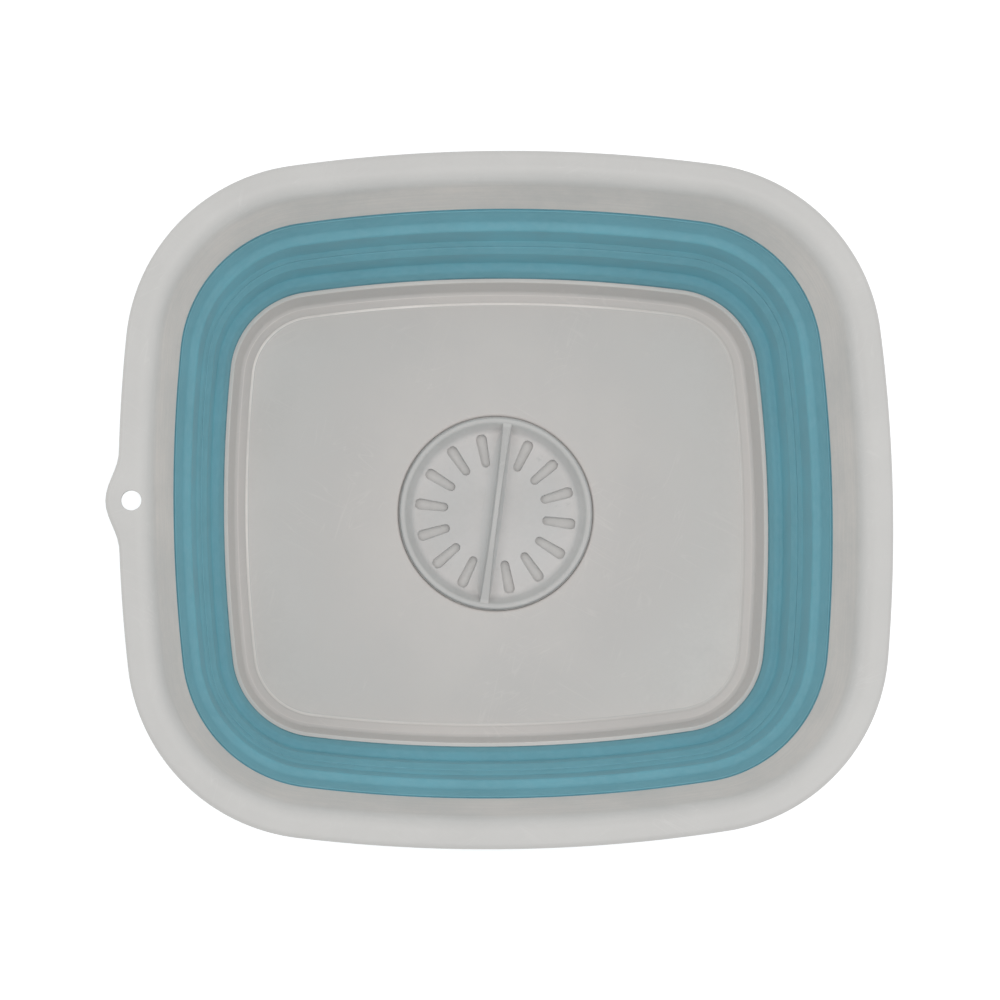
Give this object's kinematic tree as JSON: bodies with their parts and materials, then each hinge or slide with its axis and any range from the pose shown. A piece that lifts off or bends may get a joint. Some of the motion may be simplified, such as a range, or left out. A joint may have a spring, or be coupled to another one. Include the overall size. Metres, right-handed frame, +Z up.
{
  "type": "collapsible washbasin",
  "caption": "Collapsible camp washbasin: rounded-rectangle grey rim and base tray joined by a folding soft wall, with a turning drain valve and a hanging ear.",
  "frame": {"origin": "on the table under the middle of the basin's overall box, hanging ear included", "axes": "+X along the basin's long way, with the hanging ear at -X; +Z up, out of the bowl"},
  "size_m": [0.3862, 0.343, 0.13],
  "materials": {
    "grey_moulding": "satin",
    "teal_elastomer": "satin",
    "grey_elastomer": "matte",
    "stainless_steel": "brushed"
  },
  "bodies": {
    "base": {"base_tray": "grey_moulding", "lower_band": "teal_elastomer", "lower_fold": "teal_elastomer", "foot_pad_1": "teal_elastomer", "foot_pad_2": "teal_elastomer", "foot_pad_3": "teal_elastomer", "foot_pad_4": "teal_elastomer", "valve_gasket": "grey_elastomer", "lip_seal": "grey_elastomer"},
    "middle_wall": {"middle_band": "teal_elastomer", "upper_fold": "teal_elastomer"},
    "rim": {"rim_frame": "grey_moulding", "upper_band": "teal_elastomer"},
    "drain": {"drain_disc": "grey_moulding", "pivot_washer": "grey_moulding", "pivot_screw": "stainless_steel"}
  },
  "joints": [
    {"name": "lower_collapse", "type": "slide", "parent": "base", "child": "middle_wall", "axis": [0, 0, 1], "range_m": [-0.038, 0], "deforming": ["lower_fold"]},
    {"name": "upper_collapse", "type": "slide", "parent": "middle_wall", "child": "rim", "axis": [0, 0, 1], "range_m": [-0.038, 0], "deforming": ["upper_fold"]},
    {"name": "drain_turn", "type": "hinge", "parent": "base", "child": "drain", "pos_m": [0.00315, 0, 0.0069], "axis": [0, 0, 1], "range_deg": [0, 12]}
  ]
}
